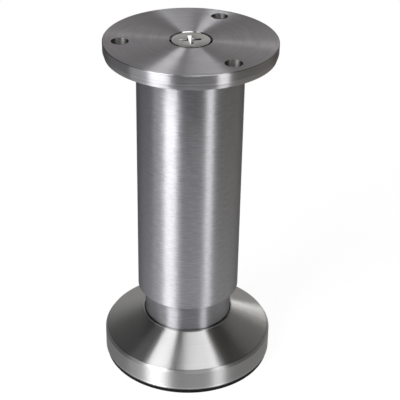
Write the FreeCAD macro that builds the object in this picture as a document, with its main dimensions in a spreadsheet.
import FreeCAD, Part
import os
import re
import Sketcher

# Height adjustable table leg: a tube under a mounting plate, and a foot that screws in and out of it.
# Millimetres, +Z up. The origin is on the floor, under the middle of the foot.
# The foot is drawn between its highest and lowest places, with travel_up and travel_down left to go.

# Driving sizes: name, value, what it is.
DRIVING = [
    ("plate_dia", 80.0, "mounting plate, outside diameter"),
    ("plate_thick", 7.0, "mounting plate, thickness"),
    ("plate_edge", 0.2, "chamfer on the plate's upper edge"),
    ("bevel_width", 0.8, "bevel under the plate's rim, inward"),
    ("bevel_height", 2.6, "bevel under the plate's rim, upward"),
    ("fix_inset", 8.0, "fixing holes, from the plate's edge to their centres"),
    ("fix_hole_dia", 8.0, "fixing hole diameter"),
    ("fix_hole_count", 3, "number of fixing holes"),
    ("fix_hole_angle", 65.5, "angle of the first fixing hole from +X, degrees"),
    ("sink_ring", 1.1, "countersink, width of the ring that shows round the screw head"),
    ("screw_dia", 10.0, "plate screw, thread diameter"),
    ("screw_length", 25.0, "plate screw, length with its head"),
    ("screw_head_dia", 17.6, "plate screw, head diameter"),
    ("screw_sunk", 0.1, "plate screw, depth of its head below the plate's upper face"),
    ("recess_span", 10.4, "cross recess, tip to tip at its mouth"),
    ("recess_width", 2.7, "cross recess, width of an arm at its mouth"),
    ("recess_floor_span", 5.2, "cross recess, tip to tip at its floor"),
    ("recess_floor_width", 1.4, "cross recess, width of an arm at its floor"),
    ("recess_depth", 3.6, "cross recess, depth"),
    ("recess_turn", 5.0, "cross recess, angle from +X, degrees"),
    ("tube_dia", 50.0, "leg tube, outside diameter"),
    ("tube_wall", 2.0, "leg tube, wall"),
    ("tube_length", 123.8, "leg tube, length"),
    ("tube_edge", 0.5, "chamfer on the tube's lower edge"),
    ("plug_height", 16.0, "tapped plugs, height"),
    ("bush_height", 13.5, "mouth bush, height"),
    ("bush_wall", 1.43, "mouth bush, wall, which sets how much thinner the sleeve is than the tube"),
    ("bush_inset", 0.5, "mouth bush, distance inside the tube's lower end"),
    ("sleeve_wall", 2.5, "sleeve, wall"),
    ("neck_wall", 1.3, "sleeve, wall of the neck that carries the guide ring"),
    ("sleeve_seat", 5.0, "depth of the sleeve's seat in the foot"),
    ("sleeve_show", 14.7, "length of sleeve between foot and tube as drawn"),
    ("ring_height", 8.0, "guide ring, height"),
    ("flange_thick", 3.0, "sleeve cap, thickness of its flange"),
    ("cap_spigot", 4.0, "sleeve cap, length inside the sleeve"),
    ("washer_dia", 20.0, "washer, outside diameter"),
    ("washer_thick", 2.0, "washer, thickness"),
    ("nut_flats", 16.0, "thin nut, width across flats"),
    ("nut_height", 5.0, "thin nut, height"),
    ("spindle_dia", 10.0, "spindle, thread diameter"),
    ("spindle_length", 110.0, "spindle, length under its head"),
    ("spindle_tip", 1.0, "chamfer on the spindle's end"),
    ("head_flats", 16.0, "spindle head, width across flats"),
    ("head_height", 6.4, "spindle head, height"),
    ("foot_dia", 84.0, "foot, outside diameter"),
    ("foot_rim", 11.0, "foot, height of its straight rim"),
    ("cone_rise", 10.5, "foot, height of its conical top"),
    ("foot_edge", 1.0, "chamfer between the foot's rim and its cone"),
    ("lip_width", 1.2, "lip at the top of the cone, from the sleeve to its edge"),
    ("lip_height", 0.6, "lip at the top of the cone, straight part"),
    ("seat_edge", 0.5, "chamfer at the mouth of the sleeve's seat"),
    ("pad_inset", 0.6, "glide pad, from the foot's side to its own"),
    ("pad_thick", 2.2, "glide pad, thickness"),
    ("travel_up", 13.5, "travel of the foot from here into the tube"),
    ("travel_down", 10.5, "travel of the foot from here out of the tube"),
]

# Clearances: a running fit, a pressed fit, a loose bolt hole and the gaps left at the ends of the travel.
CLEARANCES = [
    ("run_fit", 0.05, "radial clearance of a piece that slides or turns, threads too"),
    ("press_fit", 0.02, "radial gap left between pieces pressed together"),
    ("bolt_fit", 0.25, "radial clearance of a hole that a bolt passes through"),
    ("flat_gap", 0.15, "axial play between a turning piece and its neighbour"),
    ("stop_gap", 0.25, "gap left between guide ring and mouth bush at full height"),
    ("plug_gap", 1.5, "gap left between thin nut and spindle plug at lowest height"),
]

# Places worked out from the sizes above. Heights are above the floor.
DERIVED = [
    ("tube_bore", "tube_dia - 2 * tube_wall", "leg tube, bore"),
    ("fix_circle_dia", "plate_dia - 2 * fix_inset", "circle that the fixing holes lie on"),
    ("sleeve_dia", "tube_bore - 2 * (press_fit + bush_wall + run_fit)", "sleeve, outside diameter"),
    ("sleeve_bore", "sleeve_dia - 2 * sleeve_wall", "sleeve, bore"),
    ("neck_dia", "sleeve_bore + 2 * neck_wall", "sleeve, diameter of its neck"),
    ("pad_dia", "foot_dia - 2 * pad_inset", "glide pad, outside diameter"),
    ("cone_top_dia", "sleeve_dia + 2 * lip_width", "foot, diameter at the top of the cone"),
    ("foot_height", "foot_rim + cone_rise", "foot, height"),
    ("cone_slope", "2 * (cone_rise - lip_height) / (foot_dia - cone_top_dia)", "rise of the cone"),
    ("foot_top", "pad_thick + foot_height", "top of the cone"),
    ("head_pocket", "head_height + flat_gap", "depth of the hexagon pocket"),
    ("head_seat", "pad_thick + head_pocket", "face that the spindle head is pulled against"),
    ("spindle_floor", "head_seat - head_height", "lower end of the spindle"),
    ("sleeve_floor", "foot_top - sleeve_seat", "lower end of the sleeve"),
    ("tube_floor", "foot_top + sleeve_show", "lower end of the tube"),
    ("tube_top", "tube_floor + tube_length", "upper end of the tube"),
    ("plate_top", "tube_top + plate_thick", "upper face of the plate"),
    ("bush_floor", "tube_floor + bush_inset", "lower end of the mouth bush"),
    ("ring_floor", "bush_floor + bush_height + stop_gap + travel_down", "lower end of the guide ring"),
    ("neck_length", "ring_height + 2 * flat_gap", "length of the sleeve's neck"),
    ("shoulder", "ring_floor - flat_gap", "shoulder under the neck"),
    ("sleeve_top", "shoulder + neck_length", "upper end of the sleeve"),
    ("washer_floor", "sleeve_top + flange_thick", "underside of the washer"),
    ("nut_floor", "washer_floor + washer_thick", "underside of the thin nut"),
    ("nut_top", "nut_floor + nut_height", "upper face of the thin nut"),
    ("spindle_plug_floor", "nut_top + travel_up + plug_gap", "underside of the spindle plug"),
    ("top_plug_floor", "tube_top - plug_height", "underside of the top plug"),
    ("sink_dia", "screw_head_dia + 2 * sink_ring", "countersink diameter at the plate's upper face"),
    ("screw_floor", "plate_top - screw_sunk - screw_length", "tip of the plate screw"),
    ("screw_cone", "(screw_head_dia - screw_dia) / 2", "height of the screw head's cone"),
    ("screw_land", "sink_ring - screw_sunk - press_fit", "straight edge above that cone"),
    ("bolt_hole_dia", "spindle_dia + 2 * bolt_fit", "hole for the spindle in the foot"),
    ("thread_bore", "spindle_dia + 2 * run_fit", "tapped hole for the spindle or the screw"),
]

doc = FreeCAD.newDocument("table_leg")
sheet = doc.addObject("Spreadsheet::Sheet", "Sizes")


def write_row(row, name, content, meaning):
    """One row of the sheet: the name, the number or formula with that name as alias, and its meaning."""
    sheet.set("A%d" % row, name)
    sheet.set("B%d" % row, content)
    sheet.set("C%d" % row, meaning)
    sheet.setAlias("B%d" % row, name)


row = 1
for name, number, meaning in DRIVING + CLEARANCES:
    write_row(row, name, str(number), meaning)
    row += 1
for name, formula, meaning in DERIVED:
    write_row(row, name, "=" + formula, meaning)
    row += 1
doc.recompute()


NAMES = [entry[0] for entry in DRIVING + CLEARANCES + DERIVED]


def cell(word):
    """A size's name as a cell of the sheet, and any other word as it is."""
    return "Sizes." + word[0] if word[0] in NAMES else word[0]


def cells(formula):
    """The same formula with each size written as a cell of the sheet."""
    return re.sub(r"[a-z]\w*", cell, formula)


def new_body(label, floor=None):
    """An empty body that stands at the height given by the formula, or on the floor."""
    body = doc.addObject("PartDesign::Body", label)
    body.Label = label
    if floor is not None:
        body.setExpression("Placement.Base.z", cells(floor))
    return body


def turn_body(body, angle):
    """Turn the body about its Z axis by the formula's angle in degrees."""
    body.Placement.Rotation = FreeCAD.Rotation(FreeCAD.Vector(0, 0, 1), 1.0)
    body.setExpression("Placement.Rotation.Angle", cells(angle))


def origin(body, role):
    """A plane or axis of the body's own origin."""
    for item in body.Origin.OriginFeatures:
        if item.Role == role:
            return item
    raise ValueError("no origin feature " + role)


def outline(body, name, corners, plane="XZ_Plane", height=None):
    """A closed outline with straight sides, each corner a pair of formulas across and along the plane."""
    sketch = body.newObject("Sketcher::SketchObject", name)
    sketch.AttachmentSupport = [(origin(body, plane), "")]
    sketch.MapMode = "FlatFace"
    if height is not None:
        sketch.setExpression("AttachmentOffset.Base.z", cells(height))
    count = len(corners)
    # Rough places that only keep the corners apart, until the formulas put them right.
    rough = [FreeCAD.Vector(10 + i, 10 + i * i, 0) for i in range(count)]
    for i in range(count):
        sketch.addGeometry(Part.LineSegment(rough[i], rough[(i + 1) % count]), False)
    rules = []
    for i in range(count):
        rules.append(Sketcher.Constraint("Coincident", i, 2, (i + 1) % count, 1))
    named = []
    for i in range(count):
        across, along = corners[i]
        if across == "0":
            rules.append(Sketcher.Constraint("PointOnObject", i, 1, -2))
        else:
            named.append((len(rules), "across_%d" % i, across))
            rules.append(Sketcher.Constraint("DistanceX", -1, 1, i, 1, rough[i].x))
        if along == "0":
            rules.append(Sketcher.Constraint("PointOnObject", i, 1, -1))
        else:
            named.append((len(rules), "along_%d" % i, along))
            rules.append(Sketcher.Constraint("DistanceY", -1, 1, i, 1, rough[i].y))
    sketch.addConstraint(rules)
    for index, label, formula in named:
        sketch.renameConstraint(index, label)
        sketch.setExpression("Constraints." + label, cells(formula))
    sketch.Visibility = False
    return sketch


def circle(body, name, diameter, across="0", height=None):
    """A circle on the body's XY plane, its centre on the X axis at the place given by a formula."""
    sketch = body.newObject("Sketcher::SketchObject", name)
    sketch.AttachmentSupport = [(origin(body, "XY_Plane"), "")]
    sketch.MapMode = "FlatFace"
    if height is not None:
        sketch.setExpression("AttachmentOffset.Base.z", cells(height))
    start = FreeCAD.Vector(12, 0, 0)
    sketch.addGeometry(Part.Circle(start, FreeCAD.Vector(0, 0, 1), 4), False)
    sketch.addConstraint(Sketcher.Constraint("Diameter", 0, 8.0))
    sketch.renameConstraint(0, "size")
    sketch.setExpression("Constraints.size", cells(diameter))
    if across == "0":
        sketch.addConstraint(Sketcher.Constraint("Coincident", 0, 3, -1, 1))
    else:
        sketch.addConstraint(Sketcher.Constraint("PointOnObject", 0, 3, -1))
        sketch.addConstraint(Sketcher.Constraint("DistanceX", -1, 1, 0, 3, start.x))
        sketch.renameConstraint(2, "across")
        sketch.setExpression("Constraints.across", cells(across))
    sketch.Visibility = False
    return sketch


def hexagon(body, name, flats, height=None):
    """A hexagon on the body's XY plane, its width across flats given by a formula."""
    half = "(%s) / 2" % flats
    side = "(%s) / 2 * tan(30 deg)" % flats
    tip = "(%s) / 2 / cos(30 deg)" % flats
    corners = [
        (half, "0 - " + side),
        (half, side),
        ("0", tip),
        ("0 - " + half, side),
        ("0 - " + half, "0 - " + side),
        ("0", "0 - " + tip),
    ]
    return outline(body, name, corners, "XY_Plane", height)


def turned(body, name, corners):
    """A full revolution about the body's Z axis of an outline in radius and height."""
    sketch = outline(body, name + "_outline", corners)
    feature = body.newObject("PartDesign::Revolution", name)
    feature.Profile = sketch
    feature.ReferenceAxis = (sketch, ["V_Axis"])
    feature.Angle = 360.0
    doc.recompute()
    return feature


def padded(body, name, sketch, length):
    """A pad upward from the sketch."""
    feature = body.newObject("PartDesign::Pad", name)
    feature.Profile = sketch
    feature.setExpression("Length", cells(length))
    doc.recompute()
    return feature


def pocketed(body, name, sketch, depth=None):
    """A pocket upward from the sketch, right through where no depth is given."""
    feature = body.newObject("PartDesign::Pocket", name)
    feature.Profile = sketch
    feature.Reversed = True
    if depth is None:
        feature.Type = "ThroughAll"
    else:
        feature.setExpression("Length", cells(depth))
    doc.recompute()
    return feature


def drilled(body, name, sketch, diameter):
    """A plain hole downward from the sketch, right through."""
    hole = body.newObject("PartDesign::Hole", name)
    hole.Profile = sketch
    hole.ThreadType = "None"
    hole.DepthType = "ThroughAll"
    hole.setExpression("Diameter", cells(diameter))
    doc.recompute()
    return hole


def repeated(body, name, feature, count):
    """The feature repeated evenly about the body's Z axis."""
    pattern = body.newObject("PartDesign::PolarPattern", name)
    pattern.Originals = [feature]
    pattern.Axis = (origin(body, "Z_Axis"), [""])
    pattern.Angle = 360.0
    pattern.setExpression("Occurrences", cells(count))
    body.Tip = pattern
    doc.recompute()
    return pattern


def glide_pad():
    """Black pad: a disc stuck under the foot."""
    body = new_body("glide_pad")
    turned(body, "pad_disc", [
        ("0", "0"),
        ("pad_dia / 2", "0"),
        ("pad_dia / 2", "pad_thick"),
        ("0", "pad_thick"),
    ])
    return body


def foot_base():
    """Turned foot: straight rim, cone, lip and seat for the sleeve, with a hexagon pocket underneath."""
    body = new_body("foot_base", "pad_thick")
    turned(body, "foot_turning", [
        ("bolt_hole_dia / 2", "0"),
        ("foot_dia / 2", "0"),
        ("foot_dia / 2", "foot_rim - foot_edge"),
        ("foot_dia / 2 - foot_edge", "foot_rim + foot_edge * cone_slope"),
        ("cone_top_dia / 2", "foot_height - lip_height"),
        ("cone_top_dia / 2", "foot_height"),
        ("sleeve_dia / 2 + press_fit + seat_edge", "foot_height"),
        ("sleeve_dia / 2 + press_fit", "foot_height - seat_edge"),
        ("sleeve_dia / 2 + press_fit", "foot_height - sleeve_seat"),
        ("bolt_hole_dia / 2", "foot_height - sleeve_seat"),
    ])
    pocket = hexagon(body, "head_pocket_outline", "head_flats + 2 * bolt_fit")
    pocketed(body, "head_pocket", pocket, "head_pocket")
    return body


def spindle():
    """Hexagon-head bolt, head down, with a plain cylinder for its thread."""
    body = new_body("spindle", "spindle_floor")
    padded(body, "head", hexagon(body, "head_outline", "head_flats"), "head_height")
    turned(body, "shank", [
        ("0", "0"),
        ("spindle_dia / 2", "0"),
        ("spindle_dia / 2", "head_height + spindle_length - spindle_tip"),
        ("spindle_dia / 2 - spindle_tip", "head_height + spindle_length"),
        ("0", "head_height + spindle_length"),
    ])
    return body


def sleeve():
    """Inner tube with a thinner neck at its upper end."""
    body = new_body("sleeve", "sleeve_floor")
    turned(body, "sleeve_tube", [
        ("sleeve_bore / 2", "0"),
        ("sleeve_dia / 2", "0"),
        ("sleeve_dia / 2", "shoulder - sleeve_floor"),
        ("neck_dia / 2", "shoulder - sleeve_floor"),
        ("neck_dia / 2", "sleeve_top - sleeve_floor"),
        ("sleeve_bore / 2", "sleeve_top - sleeve_floor"),
    ])
    return body


def guide_ring():
    """Nylon ring that turns on the sleeve's neck and slides in the tube."""
    body = new_body("guide_ring", "ring_floor")
    turned(body, "ring", [
        ("neck_dia / 2 + run_fit", "0"),
        ("tube_bore / 2 - run_fit", "0"),
        ("tube_bore / 2 - run_fit", "ring_height"),
        ("neck_dia / 2 + run_fit", "ring_height"),
    ])
    return body


def sleeve_cap():
    """Disc on the sleeve's upper end, with a part inside the sleeve and a hole for the spindle."""
    body = new_body("sleeve_cap", "sleeve_top - cap_spigot")
    turned(body, "cap", [
        ("bolt_hole_dia / 2", "0"),
        ("sleeve_bore / 2 - press_fit", "0"),
        ("sleeve_bore / 2 - press_fit", "cap_spigot"),
        ("sleeve_dia / 2", "cap_spigot"),
        ("sleeve_dia / 2", "cap_spigot + flange_thick"),
        ("bolt_hole_dia / 2", "cap_spigot + flange_thick"),
    ])
    return body


def cap_washer():
    """Plain washer."""
    body = new_body("cap_washer", "washer_floor")
    turned(body, "washer", [
        ("bolt_hole_dia / 2", "0"),
        ("washer_dia / 2", "0"),
        ("washer_dia / 2", "washer_thick"),
        ("bolt_hole_dia / 2", "washer_thick"),
    ])
    return body


def cap_nut():
    """Thin hexagon nut."""
    body = new_body("cap_nut", "nut_floor")
    padded(body, "nut", hexagon(body, "nut_outline", "nut_flats"), "nut_height")
    pocketed(body, "nut_thread", circle(body, "nut_thread_outline", "thread_bore"))
    return body


def mouth_bush():
    """Nylon liner in the tube's lower end."""
    body = new_body("mouth_bush", "bush_floor")
    turned(body, "bush", [
        ("sleeve_dia / 2 + run_fit", "0"),
        ("tube_bore / 2 - press_fit", "0"),
        ("tube_bore / 2 - press_fit", "bush_height"),
        ("sleeve_dia / 2 + run_fit", "bush_height"),
    ])
    return body


def leg_tube():
    """Outer tube, its lower edge chamfered."""
    body = new_body("leg_tube", "tube_floor")
    turned(body, "tube", [
        ("tube_bore / 2", "0"),
        ("tube_dia / 2 - tube_edge", "0"),
        ("tube_dia / 2", "tube_edge"),
        ("tube_dia / 2", "tube_length"),
        ("tube_bore / 2", "tube_length"),
    ])
    return body


def plug(label, floor):
    """Tapped plug pressed into the tube."""
    body = new_body(label, floor)
    turned(body, label + "_disc", [
        ("thread_bore / 2", "0"),
        ("tube_bore / 2 - press_fit", "0"),
        ("tube_bore / 2 - press_fit", "plug_height"),
        ("thread_bore / 2", "plug_height"),
    ])
    return body


def mounting_plate():
    """Round plate, bevelled under its rim, with a countersunk centre hole and the fixing holes."""
    body = new_body("mounting_plate", "tube_top")
    turned(body, "plate_disc", [
        ("0", "0"),
        ("plate_dia / 2 - bevel_width", "0"),
        ("plate_dia / 2", "bevel_height"),
        ("plate_dia / 2", "plate_thick - plate_edge"),
        ("plate_dia / 2 - plate_edge", "plate_thick"),
        ("0", "plate_thick"),
    ])
    centre = circle(body, "centre_place", "screw_dia + 2 * bolt_fit", height="plate_thick")
    sunk = drilled(body, "centre_hole", centre, "screw_dia + 2 * bolt_fit")
    sunk.HoleCutType = "Countersink"
    sunk.HoleCutCustomValues = True
    sunk.HoleCutCountersinkAngle = 90.0
    sunk.setExpression("HoleCutDiameter", cells("sink_dia"))
    doc.recompute()
    place = circle(body, "fixing_place", "fix_hole_dia", "fix_circle_dia / 2", "plate_thick")
    hole = drilled(body, "fixing_hole", place, "fix_hole_dia")
    repeated(body, "fixing_holes", hole, "fix_hole_count")
    turn_body(body, "fix_hole_angle")
    return body


def slot_wedge(body, name, plane):
    """One slot of the cross recess: a wedge that narrows from the screw's upper face to the recess floor."""
    wedge = body.newObject("PartDesign::SubtractiveWedge", name)
    wedge.AttachmentSupport = [(origin(body, plane), "")]
    wedge.MapMode = "FlatFace"
    wedge.setExpression("AttachmentOffset.Base.y", cells("screw_length - recess_depth"))
    wedge.Ymin = 0.0
    sides = [
        ("Ymax", "recess_depth"),
        ("Xmin", "0 - recess_floor_span / 2"),
        ("Xmax", "recess_floor_span / 2"),
        ("Zmin", "0 - recess_floor_width / 2"),
        ("Zmax", "recess_floor_width / 2"),
        ("X2min", "0 - recess_span / 2"),
        ("X2max", "recess_span / 2"),
        ("Z2min", "0 - recess_width / 2"),
        ("Z2max", "recess_width / 2"),
    ]
    for side, formula in sides:
        wedge.setExpression(side, cells(formula))
    doc.recompute()
    return wedge


def plate_screw():
    """Countersunk screw with a cross recess and a plain cylinder for its thread."""
    body = new_body("plate_screw", "screw_floor")
    turned(body, "screw", [
        ("0", "0"),
        ("screw_dia / 2", "0"),
        ("screw_dia / 2", "screw_length - screw_land - screw_cone"),
        ("screw_head_dia / 2", "screw_length - screw_land"),
        ("screw_head_dia / 2", "screw_length"),
        ("0", "screw_length"),
    ])
    slot_wedge(body, "recess_across", "XZ_Plane")
    slot_wedge(body, "recess_along", "YZ_Plane")
    turn_body(body, "recess_turn")
    return body


pieces = [
    mounting_plate(),
    plate_screw(),
    plug("top_plug", "top_plug_floor"),
    leg_tube(),
    plug("spindle_plug", "spindle_plug_floor"),
    mouth_bush(),
    guide_ring(),
    cap_nut(),
    cap_washer(),
    sleeve_cap(),
    spindle(),
    sleeve(),
    foot_base(),
    glide_pad(),
]
doc.recompute()

# Every object has to be sound, and every cut has to have taken something away, before a file is written.
CUTS = ("PartDesign::Pocket", "PartDesign::Hole", "PartDesign::SubtractiveWedge")
for item in doc.Objects:
    if "Invalid" in item.State or "Error" in item.State:
        raise RuntimeError("%s is not sound: %s" % (item.Name, item.State))
    if item.TypeId in CUTS and item.Shape.Volume > item.BaseFeature.Shape.Volume - 0.1:
        raise RuntimeError(item.Name + " cuts nothing")
for body in pieces:
    if body.Shape.isNull() or not body.Shape.isValid() or len(body.Shape.Solids) != 1:
        raise RuntimeError(body.Label + " is not one sound solid")

os.makedirs("parts", exist_ok=True)
for body in pieces:
    body.Shape.exportStep("parts/%s.step" % body.Label)
    box = body.Shape.BoundBox
    size = "%.2f x %.2f x %.2f" % (box.XLength, box.YLength, box.ZLength)
    print("%-16s %s mm, from z %.2f to %.2f" % (body.Label, size, box.ZMin, box.ZMax))
